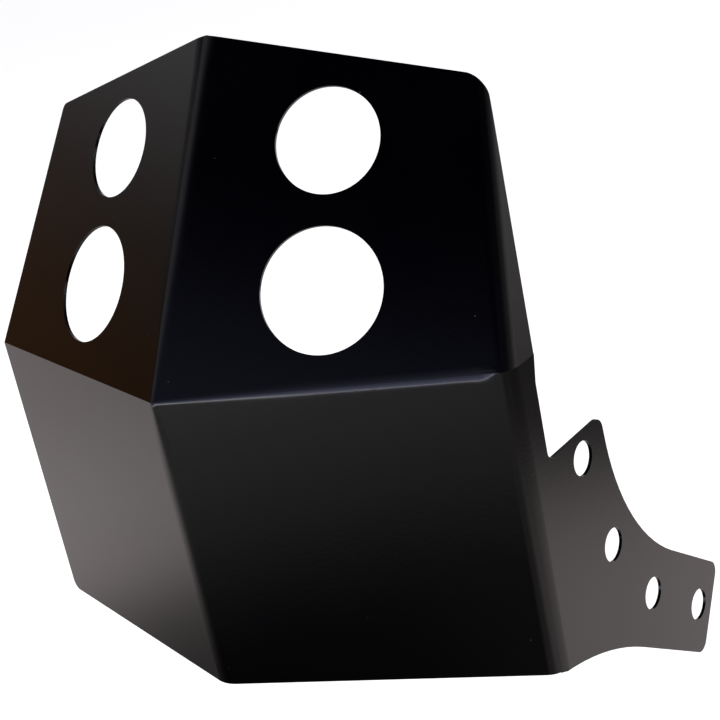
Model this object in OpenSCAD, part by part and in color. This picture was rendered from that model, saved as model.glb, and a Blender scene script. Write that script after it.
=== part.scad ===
// Skid plate folded from one sheet: two centre panels, a turned-back side on the left,
// a narrow strip on the right that runs down into an ear with four mounting holes.
// Sizes in mm. While it is drawn, the lower left end of the lower centre panel is at zero,
// X runs along the cross fold, Y goes back behind the plate and Z is up.

/* [Sheet] */
// Thickness of the sheet
sheet_t = 2; // [1.5:0.5:4]

/* [Centre panels] */
// Width between the two long folds, at the cross fold
centre_w = 200; // [160:1:260]
// Height of the lower panels, from the rear edge to the cross fold
lower_h = 182; // [140:1:240]
// Lean of the upper centre panel behind the lower one, in degrees
centre_lean = 31; // [15:1:45]
// Length of the left long fold above the cross fold
left_fold_len = 208.5; // [150:0.5:260]
// Length of the right long fold above the cross fold
right_fold_len = 159.5; // [120:0.5:220]

/* [Left side] */
// Turn of the left panels behind the lower centre panel, in degrees
left_turn = 39; // [20:1:60]
// Lean of the upper left panel behind the lower left one, in degrees
left_lean = 31; // [15:1:45]
// Width of the left side along the cross fold
left_w = 194.5; // [120:0.5:240]
// Width of the left side along the rear edge
left_rear_w = 195.5; // [120:0.5:240]
// Width of the upper left panel at its upper outer corner
left_top_w = 189.5; // [120:0.5:240]
// Height of that corner above the cross fold, along the panel
left_top_h = 157; // [80:0.5:200]

/* [Right side] */
// Turn of the right strip and ear behind the lower centre panel, in degrees
right_turn = 68; // [45:1:80]
// Lean of the upper strip behind the ear, in degrees
right_lean = 15; // [5:1:25]
// Width of the strip along the cross fold
strip_w = 24; // [16:0.5:40]
// Width of the strip at its upper end
strip_top_w = 4.5; // [3:0.5:12]

/* [Ear] */
// Width of the strip just above the ear
ear_neck_w = 21.5; // [14:0.5:36]
// Height over which the strip narrows to that, below the cross fold
strip_flare_h = 15; // [5:1:40]
// Height of the ear's upper edge above the rear edge
ear_top_z = 121; // [90:1:150]
// Distance of the ear's shoulder from the fold
ear_shoulder_w = 79.5; // [60:0.5:110]
// Bend of the ear's outer edge: distance from the fold
elbow_w = 86; // [70:0.5:110]
// Bend of the ear's outer edge: height
elbow_z = 40; // [10:1:60]
// Upper corner of the ear's tip: distance from the fold
tip_w = 192; // [140:1:230]
// Upper corner of the ear's tip: height
tip_z = -37; // [-60:1:-10]
// Lower corner of the ear's tip: distance from the fold
tip_low_w = 160.5; // [120:0.5:200]
// Lower corner of the ear's tip: height
tip_low_z = -85.5; // [-110:0.5:-60]
// Bend of the ear's lower edge: distance from the fold
belly_w = 49; // [30:0.5:70]
// Bend of the ear's lower edge: height
belly_z = -10; // [-20:0.5:-4]

/* [Holes] */
// Radius of the two upper vent holes
vent_up_r = 30; // [15:0.5:40]
// Radius of the two lower vent holes
vent_low_r = 35; // [15:0.5:45]
// Drop of the upper vent holes below the upper end of the left fold
vent_up_drop = 60; // [45:0.5:80]
// Height of the lower vent holes above the cross fold
vent_low_h = 45.5; // [40:0.5:60]
// Upper vent hole in the centre panel: distance from the left fold
centre_vent_up_w = 107; // [90:0.5:130]
// Lower vent hole in the centre panel: distance from the left fold
centre_vent_low_w = 100; // [80:0.5:120]
// Upper vent hole in the left panel: distance from the fold
left_vent_up_w = 105; // [80:0.5:130]
// Lower vent hole in the left panel: distance from the fold
left_vent_low_w = 97; // [80:0.5:120]
// Radius of the four mounting holes in the ear
bore_r = 10; // [3:0.5:14]
// Mounting hole 1: distance from the fold
bore1_w = 55; // [40:0.5:65]
// Mounting hole 1: height
bore1_z = 106; // [95:0.5:108]
// Mounting hole 2: distance from the fold
bore2_w = 72.5; // [60:0.5:76]
// Mounting hole 2: height
bore2_z = 42; // [30:0.5:50]
// Mounting hole 3: distance from the fold
bore3_w = 108.5; // [95:0.5:118]
// Mounting hole 3: height
bore3_z = -11; // [-20:0.5:-5]
// Mounting hole 4: distance from the fold
bore4_w = 161.5; // [150:0.5:168]
// Mounting hole 4: height
bore4_z = -50; // [-58:0.5:-42]

/* [Bends and corners] */
// Outer radius of the left long fold, below the cross fold
left_bend_r = 7; // [4:0.5:12]
// Outer radius of the left long fold, above the cross fold
left_bend_up_r = 8; // [4:0.5:12]
// Outer radius of the right long fold, below the cross fold
right_bend_r = 13; // [5:0.5:16]
// Outer radius of the right long fold, above the cross fold
right_bend_up_r = 12; // [5:0.5:14]
// Outer radius of the cross fold
cross_bend_r = 6; // [3:0.5:8]
// Corner radius at the upper outer corner of the left side
left_top_r = 5; // [2:0.5:15]
// Corner radius where the cross seam meets the left outer edge
left_seam_r = 15; // [5:0.5:30]
// Corner radius at the lower outer corner of the left side
left_rear_r = 6; // [2:0.5:15]
// Corner radius at the upper right corner of the centre panel
right_top_r = 17; // [6:0.5:24]
// Corner radius of the ear's shoulder
shoulder_r = 8; // [4:0.5:20]
// Radius in the notch above the ear
notch_r = 5; // [2:0.5:8]
// Radius of the ear's outer edge, where it bends towards the tip
elbow_r = 140; // [60:5:150]
// Radius of the ear's lower edge
belly_r = 240; // [100:5:245]
// Radius of the tip's two corners
tip_r = 8; // [3:0.5:15]

/* [Hidden] */
$fn = 96;
reach = 400;                 // longer than any panel
over = 1;                    // how far a cutter passes a face
ease = 0.01;                 // added to each arc's radius, so that it crosses its sides cleanly
lap = 0.5;                   // how far each panel is drawn past its folds, before it is trimmed

function unit(v) = v / norm(v);
function up(v) = v[2] < 0 ? -v : v;
// The end of the edge from a to b, drawn on past b
function past(a, b) = b + lap * unit(b - a);
// Outward normal, and the two directions in the face, of a face turned about Z and leaning back
function face_n(turn, lean) = [sin(turn) * cos(lean), -cos(turn) * cos(lean), sin(lean)];
function face_x(turn) = [cos(turn), sin(turn), 0];
function face_y(turn, lean) = [-sin(turn) * sin(lean), cos(turn) * sin(lean), cos(lean)];
function in_face(v, turn, lean) = [v * face_x(turn), v * face_y(turn, lean)];
function from_face(p, at, turn, lean) = at + p[0] * face_x(turn) + p[1] * face_y(turn, lean);

n_centre_low = face_n(0, 0);
n_centre_up = face_n(0, centre_lean);
n_left_low = face_n(-left_turn, 0);
n_left_up = face_n(-left_turn, left_lean);
n_right_low = face_n(right_turn, 0);
n_right_up = face_n(right_turn, right_lean);

// Directions of the two long folds above the cross fold
left_fold = up(unit(cross(n_centre_up, n_left_up)));
right_fold = up(unit(cross(n_centre_up, n_right_up)));

// Ends of the cross fold, and the upper ends of the long folds
left_node = [0, 0, lower_h];
right_node = [centre_w, 0, lower_h];
left_peak = left_node + left_fold_len * left_fold;
right_peak = right_node + right_fold_len * right_fold;

// Heights of the vent holes, which keep to the folds
vent_up_z = left_peak[2] - vent_up_drop;
vent_low_z = lower_h + vent_low_h;

// The strip's upper edge goes on in line with the centre panel's upper edge
top_plane_n = cross(unit(right_peak - left_peak), n_centre_up);
strip_top_dir = unit(cross(n_right_up, top_plane_n));
strip_peak = right_peak + strip_top_w * (strip_top_dir[1] < 0 ? -strip_top_dir : strip_top_dir);
strip_seam = from_face([strip_w, 0], right_node, right_turn, right_lean);

// Outer corners of the left side
left_seam = from_face([-left_w, 0], left_node, -left_turn, left_lean);
left_top = from_face([-left_top_w, left_top_h], left_node, -left_turn, left_lean);
left_rear = from_face([-left_rear_w, 0], [0, 0, 0], -left_turn, 0);

// The same corners in the drawings of the upper panels
up_left = in_face(left_peak - left_node, 0, centre_lean);
up_right = in_face(right_peak - left_node, 0, centre_lean);
left_up_peak = in_face(left_peak - left_node, -left_turn, left_lean);
strip_up_peak = in_face(strip_peak - right_node, right_turn, right_lean);
strip_up_fold = in_face(right_peak - right_node, right_turn, right_lean);

// The part's own zero: the middle of mounting hole 1, halfway through the sheet
row_zero = from_face([bore1_w, bore1_z], [centre_w, 0, 0], right_turn, 0) - n_right_low * sheet_t / 2;

// Sliver between a corner at p, with sides towards a and b, and the arc of radius r in it.
// It is drawn past both sides, so it cuts a corner off cleanly or fills one in.
module corner_sliver(p, a, b, r) {
    da = unit(a - p);
    db = unit(b - p);
    half = acos(da * db) / 2;
    c = p + unit(da + db) * r / sin(half);
    ta = p + da * r / tan(half);
    tb = p + db * r / tan(half);
    past = 1 + over / r;
    difference() {
        polygon([c, c + (ta - c) * past, c + (p - c) * past, c + (tb - c) * past]);
        translate(c) circle(r + ease);
    }
}

// Flat outline with a radius at each corner: above 0 rounds it off, below 0 fills it in
module outline(pts, radii) {
    n = len(pts);
    difference() {
        union() {
            polygon(pts);
            for (i = [0:n - 1]) if (radii[i] < 0)
                corner_sliver(pts[i], pts[(i + n - 1) % n], pts[(i + 1) % n], -radii[i]);
        }
        for (i = [0:n - 1]) if (radii[i] > 0)
            corner_sliver(pts[i], pts[(i + n - 1) % n], pts[(i + 1) % n], radii[i]);
    }
}

// Puts a drawing on a face: drawn X along the fold, drawn Y up the face, drawn Z outward
module on_face(at, turn, lean) {
    translate(at) rotate([90 - lean, 0, turn]) children();
}

// Makes a sheet behind the outline drawn on a face, less the holes given as [x, y, radius]
module sheet(holes = []) {
    difference() {
        translate([0, 0, -sheet_t]) linear_extrude(height = sheet_t) children();
        for (h = holes)
            translate([h[0], h[1], -sheet_t - over]) cylinder(r = h[2], h = sheet_t + 2 * over);
    }
}

// Frame for work along a fold: X outward between the two faces, Z along the fold
module along_fold(at, dir, n1, n2) {
    x = unit(n1 + n2);
    y = cross(dir, x);
    multmatrix([[x[0], y[0], dir[0], at[0]],
                [x[1], y[1], dir[1], at[1]],
                [x[2], y[2], dir[2], at[2]],
                [0, 0, 0, 1]]) children();
}

// Cross-section of what a bend of outer radius r takes off the outside of a sharp fold
module bend_outside(r, half) {
    translate([-r / cos(half), 0]) bend_sliver(r, half, (r + over) / r);
}

// Cross-section of what it adds on the inside
module bend_inside(r, half) {
    r_in = r - sheet_t;
    translate([-r / cos(half), 0]) bend_sliver(r_in, half, (r_in + sheet_t / 2) / r_in);
}

module bend_sliver(r, half, past) {
    difference() {
        polygon([[0, 0], past * r * [cos(half), sin(half)], [past * r / cos(half), 0],
                 past * r * [cos(half), -sin(half)]]);
        circle(r + ease);
    }
}

module bend_cut(at, dir, n1, n2, r, from, to) {
    along_fold(at, dir, n1, n2) translate([0, 0, from])
        linear_extrude(height = to - from) bend_outside(r, acos(n1 * n2) / 2);
}

module bend_fill(at, dir, n1, n2, r, from, to) {
    along_fold(at, dir, n1, n2) translate([0, 0, from])
        linear_extrude(height = to - from) bend_inside(r, acos(n1 * n2) / 2);
}

// Rounds an outer corner at p straight through the plate, along n
module corner_through(p, a, b, n, r, depth) {
    x = unit((a - p) - n * ((a - p) * n));
    y = cross(n, x);
    multmatrix([[x[0], y[0], n[0], p[0]],
                [x[1], y[1], n[1], p[1]],
                [x[2], y[2], n[2], p[2]],
                [0, 0, 0, 1]])
        translate([0, 0, -depth]) linear_extrude(height = 2 * depth)
            corner_sliver([0, 0], [(a - p) * x, (a - p) * y], [(b - p) * x, (b - p) * y], r);
}

// Everything behind the outer plane of a face
module behind(at, turn, lean) {
    on_face(at, turn, lean) translate([-2 * reach, -2 * reach, -2 * reach])
        cube([4 * reach, 4 * reach, 2 * reach]);
}

// Everything behind all six panels, which trims each at its folds
module behind_panels() {
    intersection() {
        behind([0, 0, 0], 0, 0);
        behind(left_node, 0, centre_lean);
        behind([0, 0, 0], -left_turn, 0);
        behind(left_node, -left_turn, left_lean);
        behind([centre_w, 0, 0], right_turn, 0);
        behind(right_node, right_turn, right_lean);
    }
}

// Everything above the cross fold, and a hair below it so that the cuts on both sides meet
module above_cross_fold() {
    translate([-reach, -reach, lower_h - over / 10]) cube([2 * reach + centre_w, 2 * reach, reach]);
}

// Everything on the right of the line from a to b on a face
module right_of_edge(a, b, turn, lean, at) {
    fa = in_face(a - at, turn, lean);
    fb = in_face(b - at, turn, lean);
    on_face(at, turn, lean) translate(fa) rotate([0, 0, atan2(fb[1] - fa[1], fb[0] - fa[0])])
        translate([-reach, -2 * reach, -reach]) cube([2 * reach, 2 * reach, 2 * reach]);
}

module centre_low_panel() {
    on_face([0, 0, 0], 0, 0) sheet()
        polygon([[-lap, 0], [centre_w + lap, 0], [centre_w + lap, lower_h + lap],
                 [-lap, lower_h + lap]]);
}

module centre_up_panel() {
    on_face(left_node, 0, centre_lean)
        sheet([[centre_vent_up_w, (vent_up_z - lower_h) / cos(centre_lean), vent_up_r],
               [centre_vent_low_w, (vent_low_z - lower_h) / cos(centre_lean), vent_low_r]])
            polygon([[-lap, -lap], [centre_w + lap, -lap],
                     up_right + [lap, over], up_left + [-lap, over]]);
}

module left_low_panel() {
    on_face([0, 0, 0], -left_turn, 0) sheet()
        outline([[lap, 0], [lap, lower_h + lap], past([-left_rear_w, 0], [-left_w, lower_h]),
                 [-left_rear_w, 0]],
                [0, 0, 0, left_rear_r]);
}

module left_up_panel() {
    on_face(left_node, -left_turn, left_lean)
        sheet([[-left_vent_up_w, (vent_up_z - lower_h) / cos(left_lean), vent_up_r],
               [-left_vent_low_w, (vent_low_z - lower_h) / cos(left_lean), vent_low_r]])
            outline([[lap, -lap], past([-left_top_w, left_top_h], left_up_peak),
                     [-left_top_w, left_top_h], past([-left_top_w, left_top_h], [-left_w, 0])],
                    [0, 0, left_top_r, 0]);
}

// The strip with its bend, drawn wide and then trimmed at its outer edge
module right_strip() {
    intersection() {
        union() {
            on_face(right_node, right_turn, right_lean) sheet()
                polygon([[-lap, -lap], [strip_w + over, -lap],
                         strip_up_peak + [over, 3 * over], strip_up_fold + [-lap, 3 * over]]);
            intersection() {
                bend_fill(right_node, right_fold, n_centre_up, n_right_up, right_bend_up_r,
                          -right_bend_up_r, right_fold_len + right_bend_up_r);
                above_cross_fold();
            }
        }
        right_of_edge(strip_peak, strip_seam, right_turn, right_lean, right_node);
    }
}

// The upper centre panel and the strip, trimmed along their one upper edge
module upper_panels() {
    intersection() {
        union() {
            centre_up_panel();
            right_strip();
        }
        right_of_edge(left_peak, right_peak, 0, centre_lean, left_node);
    }
}

module right_ear() {
    on_face([centre_w, 0, 0], right_turn, 0)
        sheet([[bore1_w, bore1_z, bore_r], [bore2_w, bore2_z, bore_r],
               [bore3_w, bore3_z, bore_r], [bore4_w, bore4_z, bore_r]])
            outline([past([belly_w, belly_z], [0, 0]), [belly_w, belly_z], [tip_low_w, tip_low_z],
                     [tip_w, tip_z], [elbow_w, elbow_z], [ear_shoulder_w, ear_top_z], [ear_neck_w, ear_top_z],
                     [ear_neck_w, lower_h - strip_flare_h], [strip_w + 0.8 * lap, lower_h + lap],
                     [-lap, lower_h + lap]],
                    [0, -belly_r, tip_r, tip_r, -elbow_r, shoulder_r, -notch_r, 0, 0, 0]);
}

// Inside and outside of every bend
module bend_fills() {
    bend_fill([0, 0, 0], [0, 0, 1], n_centre_low, n_left_low, left_bend_r, 0, lower_h);
    bend_fill([centre_w, 0, 0], [0, 0, 1], n_centre_low, n_right_low, right_bend_r, 0, lower_h);
    bend_fill(left_node, [1, 0, 0], n_centre_low, n_centre_up, cross_bend_r, 0, centre_w);
    intersection() {
        bend_fill(left_node, left_fold, n_centre_up, n_left_up, left_bend_up_r,
                  -left_bend_up_r, left_fold_len + left_bend_up_r);
        above_cross_fold();
        right_of_edge(left_peak, right_peak, 0, centre_lean, left_node);
        right_of_edge(left_top, left_peak, -left_turn, left_lean, left_node);
    }
}

module bend_cuts() {
    past = lower_h + over / 5;
    bend_cut([0, 0, 0], [0, 0, 1], n_centre_low, n_left_low, left_bend_r, -over, past);
    bend_cut([centre_w, 0, 0], [0, 0, 1], n_centre_low, n_right_low, right_bend_r, -over, past);
    bend_cut(left_node, [1, 0, 0], n_centre_low, n_centre_up, cross_bend_r, -over, centre_w + over);
    intersection() {
        bend_cut(left_node, left_fold, n_centre_up, n_left_up, left_bend_up_r,
                 -left_bend_up_r, left_fold_len + left_bend_up_r);
        above_cross_fold();
    }
    intersection() {
        bend_cut(right_node, right_fold, n_centre_up, n_right_up, right_bend_up_r,
                 -right_bend_up_r, right_fold_len + right_bend_up_r);
        above_cross_fold();
    }
}

module skid_plate() {
    color([0.06, 0.06, 0.07]) translate(-row_zero) difference() {
        intersection() {
            union() {
                centre_low_panel();
                upper_panels();
                left_low_panel();
                left_up_panel();
                right_ear();
                bend_fills();
            }
            behind_panels();
        }
        bend_cuts();
        corner_through(left_seam, left_top, left_rear, unit(n_left_low + n_left_up), left_seam_r, 20);
        corner_through(strip_peak, left_peak, strip_seam, n_centre_up, right_top_r, 40);
    }
}

skid_plate();
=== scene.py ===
from math import cos, radians, sin, sqrt, tan

import bpy
from mathutils import Matrix, Vector


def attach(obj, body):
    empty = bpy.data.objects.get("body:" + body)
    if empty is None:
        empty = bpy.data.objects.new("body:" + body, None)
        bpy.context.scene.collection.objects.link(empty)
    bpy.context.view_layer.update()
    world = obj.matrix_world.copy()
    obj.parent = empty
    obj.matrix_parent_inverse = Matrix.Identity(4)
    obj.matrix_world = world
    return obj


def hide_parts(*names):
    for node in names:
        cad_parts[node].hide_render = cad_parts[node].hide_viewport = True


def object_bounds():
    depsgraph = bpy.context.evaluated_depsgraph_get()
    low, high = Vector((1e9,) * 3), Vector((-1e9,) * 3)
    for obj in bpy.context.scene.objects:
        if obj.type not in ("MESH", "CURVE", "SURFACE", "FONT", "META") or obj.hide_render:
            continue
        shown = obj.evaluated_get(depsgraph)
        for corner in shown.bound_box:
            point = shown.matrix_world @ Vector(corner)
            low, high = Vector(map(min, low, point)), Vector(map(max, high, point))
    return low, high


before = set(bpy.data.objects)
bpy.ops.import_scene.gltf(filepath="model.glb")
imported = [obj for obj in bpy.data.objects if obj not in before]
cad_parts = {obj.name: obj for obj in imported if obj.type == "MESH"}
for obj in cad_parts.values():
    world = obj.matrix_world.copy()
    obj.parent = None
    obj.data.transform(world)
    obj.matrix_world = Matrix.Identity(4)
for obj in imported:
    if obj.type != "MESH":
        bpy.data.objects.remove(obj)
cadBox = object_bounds()
print("frame loaded")


class Wire:
    # a value on its way through a node tree, so that shader maths reads as plain sums
    def __init__(self, tree, socket):
        self.tree = tree
        self.socket = socket

    def maths(self, operation, a, b=0.0):
        return makeNode(self.tree, "ShaderNodeMath", {"operation": operation}, {0: a, 1: b})

    def __add__(self, other):
        return self.maths("ADD", self, other)

    def __sub__(self, other):
        return self.maths("SUBTRACT", self, other)

    def __rsub__(self, other):
        return self.maths("SUBTRACT", other, self)

    def __mul__(self, other):
        return self.maths("MULTIPLY", self, other)

    def __pow__(self, other):
        return self.maths("POWER", self, other)

    __radd__ = __add__
    __rmul__ = __mul__


# any node: its settings first, then the values or wires of its sockets; gives one output
def makeNode(tree, kind, settings=None, values=None, output=0):
    node = tree.nodes.new(kind)
    for name, value in (settings or {}).items():
        if name == "stops":
            setStops(node.color_ramp, value)
        else:
            setattr(node, name, value)
    for name, value in (values or {}).items():
        if isinstance(value, Wire):
            tree.links.new(value.socket, node.inputs[name])
        else:
            node.inputs[name].default_value = value
    return Wire(tree, node.outputs[output]) if len(node.outputs) else None


def setStops(ramp, stops):
    ramp.interpolation = "EASE"
    while len(ramp.elements) < len(stops):
        ramp.elements.new(0.5)
    for element, (place, colour) in zip(ramp.elements, stops):
        element.position = place
        element.color = (*colour, 1.0)


# 0 below low, 1 above high, smooth or linear between
def ease(value, low, high, kind="SMOOTHSTEP"):
    values = {"Value": value, "From Min": low, "From Max": high}
    return makeNode(value.tree, "ShaderNodeMapRange", {"interpolation_type": kind}, values)


def blend(factor, first, second):
    settings = {"data_type": "RGBA"}
    return makeNode(factor.tree, "ShaderNodeMix", settings, {0: factor, 6: first, 7: second}, 2)


# how far a direction points along another one
def towards(direction, aim):
    values = {0: direction, 1: Vector(aim).normalized()}
    settings = {"operation": "DOT_PRODUCT"}
    return makeNode(direction.tree, "ShaderNodeVectorMath", settings, values, 1)


def onlySelect(thing):
    bpy.ops.object.select_all(action="DESELECT")
    thing.select_set(True)
    bpy.context.view_layer.objects.active = thing


photoCamera = {
    "place": (0.1472, -0.7870, 0.3841),
    "turn": 18.368,          # degrees to the left of straight ahead
    "dip": 20.748,           # degrees down
    "roll": -11.886,
    "lens": 79.64,
    "sensor": 36.0,
}


def makeCamera(look):
    lens = bpy.data.cameras.new("photoCamera")
    lens.lens = look["lens"]
    lens.sensor_width = look["sensor"]
    camera = bpy.data.objects.new("photoCamera", lens)
    turned = (Matrix.Rotation(radians(look["turn"]), 4, "Z")
              @ Matrix.Rotation(radians(90 - look["dip"]), 4, "X")
              @ Matrix.Rotation(radians(look["roll"]), 4, "Z"))
    camera.matrix_world = Matrix.Translation(look["place"]) @ turned
    bpy.context.scene.collection.objects.link(camera)
    bpy.context.scene.camera = camera


makeCamera(photoCamera)
print("camera placed")


coat = {
    "colour": (0.0003, 0.0002, 0.0008),
    "paleColour": (0.0006, 0.0005, 0.0008),
    "cloudSize": 0.060,      # soft clouds in the colour and the gloss
    "cloudLow": 0.35, "cloudHigh": 0.65,
    "roughness": 0.15,
    "roughSpread": 0.03,
    "peelSize": 0.0022,      # orange peel of the powder coat
    "peelHeight": 0.000014,
    "grainSize": 0.0008,
    "grainHeight": 0.000006,
    "speckGap": 0.022,       # mean distance between specks of dust
    "speckSize": 0.00045,
    "speckCore": 0.4,        # share of a speck that is fully pale
    "speckColour": (0.10, 0.10, 0.11),
    "ior": 1.5,
    "detail": 2.0, "grainDetail": 3.0,
}

plateEdges = {
    "merge": 0.000001,
    "flatAngle": 0.3,        # triangles within this angle join into one face
    "bevel": 0.00035,        # the coat rounds the cut edges of the sheet
    "bevelAngle": 40,
    "segments": 2,
    "smoothAngle": 35,
    "seamHeight": 0.0757,    # the two mitred seams lie at this height, outside the long folds
    "seamBand": 0.0009,
    "seamLeft": -0.2199, "seamRight": -0.0190,
    "seamAngle": 8,
}

# three folds are drawn softer than the solid's: both faces of each follow an arc that grows
# from the corner where the folds meet
softFolds = {
    "node": (-0.2196762, -0.0513697, 0.076),  # that corner, on the outer faces
    "thickness": 0.002,
    "strips": 9,             # on each side of a fold
    "shares": (0.05, 0.12, 0.25, 0.5, 1.0),  # cuts across it, as shares of the growing part
    # turn and lean of each panel
    "panels": {"low": (0, 0), "up": (0, 31), "leftLow": (-39, 0), "leftUp": (-39, 31)},
    # panels on both sides, outer radius at the corner, full radius, how far along the fold
    # that is reached, and where the arc ends
    "folds": [("low", "leftLow", 0.005, 0.020, 0.050, 1.0),
              ("up", "leftUp", 0.005, 0.028, 0.190, 1.0),
              ("low", "up", 0.005, 0.017, 0.178, 0.196)],
    "solidRadius": 0.010,    # the solid's own bends lie within an arc of this radius
    "taper": 0.012,          # over this length an arc narrows to the solid's before its end
    "taperRadius": 0.006,
    "around": 1.2,           # faces within this share of an arc's width are cut
    "slant": 0.08,           # and only those that run along the fold
}

# smooth round cutters for the holes: middle on the outer face, turn and lean of that face
holes = {
    "sides": 160,
    "depth": 0.020,
    "ease": 0.00003,         # cut just past the faceted rim
    "round": [
        ((-0.11268, 0.01822, 0.1918), 0, 31, 0.030),
        ((-0.11968, -0.02403, 0.1215), 0, 31, 0.035),
        ((-0.25741, 0.06877, 0.1918), -39, 31, 0.030),
        ((-0.27785, 0.03092, 0.1215), -39, 31, 0.035),
        ((0.0, 0.0, 0.0), 68, 0, 0.010),
        ((0.00656, 0.01623, -0.064), 68, 0, 0.010),
        ((0.02004, 0.04960, -0.117), 68, 0, 0.010),
        ((0.03990, 0.09875, -0.156), 68, 0, 0.010),
    ],
}


def noise(place, size, detail):
    values = {"Vector": place, "Scale": 1.0 / size, "Detail": detail}
    return makeNode(place.tree, "ShaderNodeTexNoise", None, values)


def makeCoat(look):
    material = bpy.data.materials.new("satinBlackPowderCoat")
    material.use_nodes = True
    tree = material.node_tree
    tree.nodes.clear()
    place = makeNode(tree, "ShaderNodeTexCoord", None, None, "Object")
    cloud = noise(place, look["cloudSize"], look["detail"])
    peel = noise(place, look["peelSize"], look["detail"])
    grain = noise(place, look["grainSize"], look["grainDetail"])
    cells = {"Vector": place, "Scale": 1.0 / look["speckGap"]}
    near = makeNode(tree, "ShaderNodeTexVoronoi", None, cells)
    edge = look["speckSize"] / look["speckGap"]
    speck = 1 - ease(near, look["speckCore"] * edge, edge)
    body = blend(ease(cloud, look["cloudLow"], look["cloudHigh"]),
                 (*look["colour"], 1), (*look["paleColour"], 1))
    colour = blend(speck, body, (*look["speckColour"], 1))
    rough = (look["roughness"] + (cloud - 0.5) * look["roughSpread"]
             + (grain - 0.5) * look["roughSpread"])
    height = peel * look["peelHeight"] + grain * look["grainHeight"]
    bump = makeNode(tree, "ShaderNodeBump", None,
                    {"Height": height, "Distance": 1.0, "Strength": 1.0})
    shader = makeNode(tree, "ShaderNodeBsdfPrincipled", None, {
        "Base Color": colour, "Roughness": rough, "Normal": bump, "IOR": look["ior"]})
    makeNode(tree, "ShaderNodeOutputMaterial", None, {"Surface": shader})
    return material


def faceNormal(turn, lean):
    turn, lean = radians(turn), radians(lean)
    return Vector((sin(turn) * cos(lean), -cos(turn) * cos(lean), sin(lean)))


# cuts the faces that run along a fold, those with any or all of their points near it
def bisectAlong(plate, look, fold, place, normal, which):
    along, across, width = fold
    mesh = plate.data
    node = Vector(look["node"])
    near = [abs((v.co - node).dot(across)) < look["around"] * width for v in mesh.vertices]
    for vertex in mesh.vertices:
        vertex.select = False
    for edge in mesh.edges:
        edge.select = False
    for face in mesh.polygons:
        runsAlong = abs(face.normal.dot(along)) < look["slant"]
        face.select = runsAlong and which(near[i] for i in face.vertices)
    bpy.ops.object.mode_set(mode="EDIT")
    bpy.ops.mesh.bisect(plane_co=place, plane_no=normal)
    bpy.ops.object.mode_set(mode="OBJECT")


def softenFolds(plate, look):
    node = Vector(look["node"])
    normals = {name: faceNormal(*angles) for name, angles in look["panels"].items()}
    bpy.context.tool_settings.mesh_select_mode = (False, False, True)
    arcs = []
    for first, second, nearRadius, farRadius, whole, end in look["folds"]:
        one, two = normals[first], normals[second]
        out = (one + two).normalized()
        across = (one - two).normalized()
        along = out.cross(across)
        half = one.angle(two) / 2
        arcs.append((first, second, out, across, half, nearRadius, farRadius, whole, end))
        fold = (along, across, farRadius * sin(half))
        for step in range(-look["strips"], look["strips"] + 1):
            place = node + across * farRadius * sin(half * step / look["strips"])
            bisectAlong(plate, look, fold, place, across, any)
        lengths = [share * whole for share in look["shares"]] + [end - look["taper"], end]
        for length in lengths:
            for side in (-1, 1):
                bisectAlong(plate, look, fold, node + along * side * length, along, all)
    # each point near a fold goes onto its arc, or onto the flat faces beside a tighter one
    moved = 0
    for vertex in plate.data.vertices:
        place = vertex.co - node
        nearest = sorted(normals, key=lambda name: -place.dot(normals[name]))[:2]
        for first, second, out, across, half, nearRadius, farRadius, whole, end in arcs:
            side = abs(place.dot(across))
            away = abs(place.dot(out.cross(across)))
            radius = nearRadius + (farRadius - nearRadius) * min(away / whole, 1.0)
            ending = max(0.0, 1 - (end - away) / look["taper"])
            radius += (look["taperRadius"] - radius) * ending
            width = max(radius, look["solidRadius"]) * sin(half)
            if {first, second} != set(nearest) or side > width or away > end:
                continue
            depth = place.dot(out)
            flat = -side * tan(half)
            midway = flat - look["thickness"] / 2 / cos(half)
            inner = look["thickness"] if depth < midway else 0.0
            bend = radius - inner
            if side < bend * sin(half):
                wanted = sqrt(bend * bend - side * side) - radius / cos(half)
            else:
                wanted = flat - inner / cos(half)
            if abs(wanted - depth) < look["thickness"] / 2:
                vertex.co += out * (wanted - depth)
                moved += 1
    print("points moved onto the softer folds:", moved)


# one cutter after the other takes the faceted rim of each hole down to a true circle
def cutHoles(plate, look):
    for middle, turn, lean, radius in look["round"]:
        bpy.ops.object.select_all(action="DESELECT")
        bpy.ops.mesh.primitive_cylinder_add(
            vertices=look["sides"], radius=radius + look["ease"], depth=look["depth"],
            location=middle, rotation=(radians(90 - lean), 0, radians(turn)))
        cutter = bpy.context.object
        onlySelect(plate)
        cut = plate.modifiers.new("roundHole", "BOOLEAN")
        cut.operation = "DIFFERENCE"
        cut.solver = "EXACT"
        cut.object = cutter
        bpy.ops.object.modifier_apply(modifier=cut.name)
        bpy.data.objects.remove(cutter)


# keeps the shading crisp along the mitred seams, which fold less than the bends' smoothing
def markSeams(plate, look):
    mesh = plate.data
    faces = {}
    for face in mesh.polygons:
        for key in face.edge_keys:
            faces.setdefault(key, []).append(face.normal)
    count = 0
    for edge in mesh.edges:
        ends = [mesh.vertices[i].co for i in edge.vertices]
        level = all(abs(end.z - look["seamHeight"]) < look["seamBand"] for end in ends)
        outside = all(end.x < look["seamLeft"] or end.x > look["seamRight"] for end in ends)
        one, two = faces[edge.key]
        if level and outside and one.angle(two) > radians(look["seamAngle"]):
            edge.use_edge_sharp = True
            count += 1
    print("seam edges kept sharp:", count)


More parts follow.
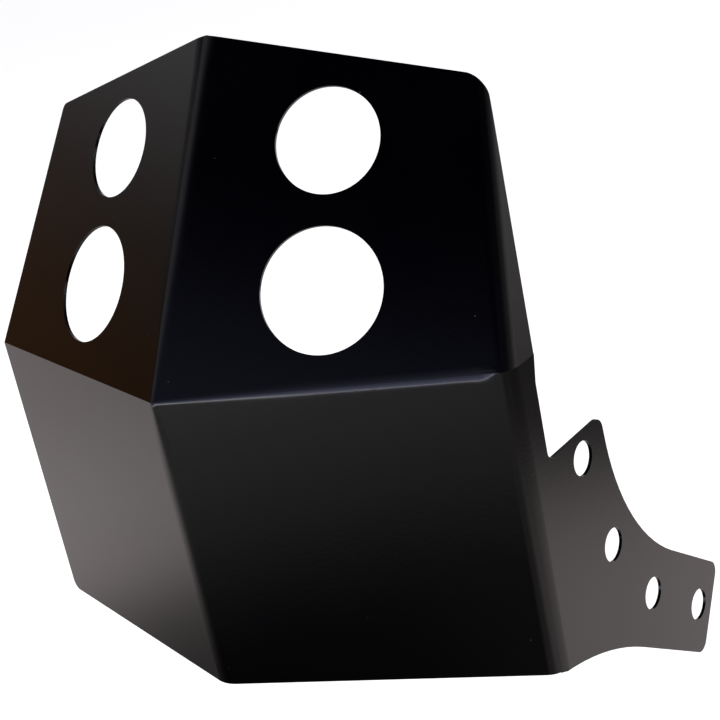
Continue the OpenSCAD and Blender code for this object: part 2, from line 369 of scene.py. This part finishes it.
# the plate is a merged copy of the CAD solid, with its cut edges softened by the coat
def makePlate(look):
    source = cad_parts["skid_plate"]
    plate = source.copy()
    plate.data = source.data.copy()
    for name in list(plate.keys()):
        if name.startswith("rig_"):
            del plate[name]
    plate.parent = None
    plate.name = "coated_plate"
    bpy.context.scene.collection.objects.link(plate)
    onlySelect(plate)
    bpy.ops.object.mode_set(mode="EDIT")
    bpy.ops.mesh.select_all(action="SELECT")
    bpy.ops.mesh.remove_doubles(threshold=look["merge"])
    bpy.ops.mesh.dissolve_limited(angle_limit=radians(look["flatAngle"]))
    bpy.ops.mesh.normals_make_consistent(inside=False)
    bpy.ops.object.mode_set(mode="OBJECT")
    softenFolds(plate, softFolds)
    cutHoles(plate, holes)
    bevel = plate.modifiers.new("coatedEdges", "BEVEL")
    bevel.width = look["bevel"]
    bevel.segments = look["segments"]
    bevel.limit_method = "ANGLE"
    bevel.angle_limit = radians(look["bevelAngle"])
    bevel.use_clamp_overlap = True
    bpy.ops.object.modifier_apply(modifier=bevel.name)
    bpy.ops.object.shade_smooth_by_angle(angle=radians(look["smoothAngle"]))
    markSeams(plate, look)
    weighted = plate.modifiers.new("flatFaces", "WEIGHTED_NORMAL")
    weighted.keep_sharp = True
    bpy.ops.object.modifier_apply(modifier=weighted.name)
    plate.data.materials.clear()
    plate.data.materials.append(makeCoat(coat))
    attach(plate, "root")
    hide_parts("skid_plate")
    return plate


plate = makePlate(plateEdges)
print("plate coated:", len(plate.data.polygons), "faces")


# what the plate mirrors: three sectors around it, and the lights and the card before them
studio = {
    "front": (-0.38, -0.925, 0.0),
    "frontStart": 0.40, "frontFull": 0.75,
    "left": (-0.925, 0.38, 0.0),
    "leftStart": -0.20, "leftFull": 0.05,
    "right": (0.85, 0.53, 0.0),
    "rightStart": -0.69, "rightFull": 0.55,
    # brightness by height of the direction: 0 is straight down, 0.5 level, 1 straight up
    "frontHeights": [
        (0.256, (0.0, 0.0, 0.004)), (0.300, (0.36, 0.355, 0.36)), (0.364, (0.50, 0.50, 0.50)),
        (0.382, (6.4, 6.4, 7.6)), (0.398, (1.30, 1.35, 1.90)), (0.43, (1.12, 1.18, 1.75)),
        (0.50, (0.93, 0.99, 1.48)), (0.57, (0.50, 0.53, 0.80)),
        (0.61, (0.31, 0.33, 0.50)), (0.72, (0.21, 0.23, 0.33)), (0.79, (0.14, 0.15, 0.22)),
        (0.835, (0.0, 0.0, 0.012))],
    "leftHeights": [
        (0.250, (0.03, 0.03, 0.03)), (0.262, (0.12, 0.11, 0.11)), (0.285, (0.88, 0.79, 0.78)),
        (0.300, (0.95, 0.86, 0.86)), (0.345, (0.78, 0.69, 0.69)), (0.42, (0.60, 0.50, 0.46)),
        (0.48, (0.12, 0.052, 0.020)), (0.57, (0.15, 0.064, 0.018)),
        (0.60, (0.163, 0.081, 0.038)), (0.625, (0.155, 0.115, 0.095)),
        (0.655, (0.285, 0.26, 0.27)), (0.675, (0.46, 0.46, 0.47)),
        (0.72, (0.26, 0.26, 0.27)), (0.78, (0.02, 0.02, 0.03))],
    "rightHeights": [
        (0.225, (0.88, 0.79, 0.80)), (0.248, (0.95, 0.86, 0.84)), (0.262, (0.90, 0.81, 0.79)),
        (0.275, (0.66, 0.59, 0.58)), (0.288, (0.12, 0.11, 0.12)), (0.42, (0.04, 0.04, 0.04)),
        (0.455, (0.30, 0.28, 0.29)), (0.483, (0.54, 0.50, 0.52)), (0.51, (0.64, 0.60, 0.62)),
        (0.56, (0.64, 0.62, 0.64)), (0.66, (0.2, 0.2, 0.2)), (0.78, (0.01, 0.01, 0.02))],
    "keyLight": (-0.42, -0.885, -0.20),  # low in front, draws the line on the cross fold
    "keyLightStart": 0.994, "keyLightFull": 0.9985, "keyLightColour": (4.5, 4.5, 4.7),
    "foldLight": (-0.77, -0.155, 0.627),  # soft glow, draws the line on the upper left fold
    "foldLightSpread": 30.0, "foldLightColour": (0.42, 0.42, 0.47),
    "foldLightCutOff": 0.37, "foldLightWhole": 0.43,
    "flagStart": 0.10, "flagFull": 0.27,  # dark card between the left side and that glow
    "flagLow": 0.58, "flagHigh": 0.64, "flagTop": 0.69, "flagEnd": 0.75,
    "flagColour": (0.05, 0.04, 0.035), "flagShare": 0.75,
    "behindStart": -0.95, "behindFull": -0.90,
    "backdrop": (1.0, 1.0, 1.0),
}

floorLook = {
    "drop": 0.16,            # below the plate's lowest point
    "size": 24.0,
    "colour": (0.80, 0.80, 0.80),
    "roughness": 0.9,
    "glow": 0.90,            # share of white that the camera sees apart from the light on it
}

overhead = {"place": (-0.9, -0.2, 2.2), "size": 2.4, "power": 30.0}


def makeWorld(look):
    world = bpy.data.worlds.new("studio")
    bpy.context.scene.world = world
    world.use_nodes = True
    tree = world.node_tree
    tree.nodes.clear()
    aim = makeNode(tree, "ShaderNodeTexCoord", None, None, "Generated")
    split = tree.nodes.new("ShaderNodeSeparateXYZ")
    tree.links.new(aim.socket, split.inputs[0])
    height = Wire(tree, split.outputs["Z"]) * 0.5 + 0.5     # 0 straight down, 1 straight up
    ramps = [makeNode(tree, "ShaderNodeValToRGB", {"stops": look[name]}, {"Fac": height})
             for name in ("frontHeights", "leftHeights", "rightHeights")]
    ahead = towards(aim, look["front"])
    inFront = ease(ahead, look["frontStart"], look["frontFull"])
    onRight = ease(towards(aim, look["right"]), look["rightStart"], look["rightFull"], "LINEAR")
    toTheLeft = ease(towards(aim, look["left"]), look["leftStart"], look["leftFull"])
    onLeft = (1 - inFront) * toTheLeft
    room = blend(onRight, blend(onLeft, ramps[0], ramps[1]), ramps[2])
    pastFlag = ease(ahead, look["foldLightCutOff"], look["foldLightWhole"])
    flag = (ease(ahead, look["flagStart"], look["flagFull"]) * (1 - pastFlag)
            * ease(height, look["flagLow"], look["flagHigh"])
            * (1 - ease(height, look["flagTop"], look["flagEnd"])) * look["flagShare"])
    room = blend(flag, room, (*look["flagColour"], 1))
    onFoldLight = pastFlag * towards(aim, look["foldLight"]) ** look["foldLightSpread"]
    lit = blend(onFoldLight, room, (*look["foldLightColour"], 1))
    onKeyLight = ease(towards(aim, look["keyLight"]),
                      look["keyLightStart"], look["keyLightFull"])
    lit = blend(onKeyLight, lit, (*look["keyLightColour"], 1))
    # the camera sees a plain white backdrop, as do mirror rays that pass straight behind
    path = tree.nodes.new("ShaderNodeLightPath")
    seen = Wire(tree, path.outputs["Is Camera Ray"])
    through = Wire(tree, path.outputs["Is Transmission Ray"])
    mirrored = Wire(tree, path.outputs["Is Glossy Ray"])
    behind = 1 - ease(ahead, look["behindStart"], look["behindFull"])
    white = makeNode(tree, "ShaderNodeClamp", None, {"Value": seen + through + mirrored * behind})
    colour = blend(white, lit, (*look["backdrop"], 1))
    shader = makeNode(tree, "ShaderNodeBackground", None, {"Color": colour, "Strength": 1.0})
    makeNode(tree, "ShaderNodeOutputWorld", None, {"Surface": shader})


def makeFloor(look, low):
    bpy.ops.object.select_all(action="DESELECT")
    bpy.ops.mesh.primitive_plane_add(size=look["size"], location=(0, 0, low - look["drop"]))
    floor = bpy.context.object
    floor.name = "paleFloor"
    material = bpy.data.materials.new("palePaper")
    material.use_nodes = True
    tree = material.node_tree
    tree.nodes.clear()
    path = tree.nodes.new("ShaderNodeLightPath")
    seen = Wire(tree, path.outputs["Is Camera Ray"])
    shader = makeNode(tree, "ShaderNodeBsdfPrincipled", None, {
        "Base Color": (*look["colour"], 1), "Roughness": look["roughness"],
        "Specular IOR Level": 0.0,
        "Emission Color": (1, 1, 1, 1), "Emission Strength": seen * look["glow"]})
    makeNode(tree, "ShaderNodeOutputMaterial", None, {"Surface": shader})
    floor.data.materials.append(material)
    floor.visible_glossy = False     # the world already holds the floor's reflection


def makeLamp(name, look, aim):
    light = bpy.data.lights.new(name, "AREA")
    light.size = look["size"]
    light.energy = look["power"]
    lamp = bpy.data.objects.new(name, light)
    lamp.location = look["place"]
    lamp.rotation_euler = (aim - lamp.location).to_track_quat("-Z", "Y").to_euler()
    lamp.visible_camera = False
    lamp.visible_glossy = False
    bpy.context.scene.collection.objects.link(lamp)


makeWorld(studio)
makeFloor(floorLook, cadBox[0][2])
makeLamp("overhead", overhead, (Vector(cadBox[0]) + Vector(cadBox[1])) / 2)
bpy.context.scene.view_settings.view_transform = "Standard"
print("studio lit")
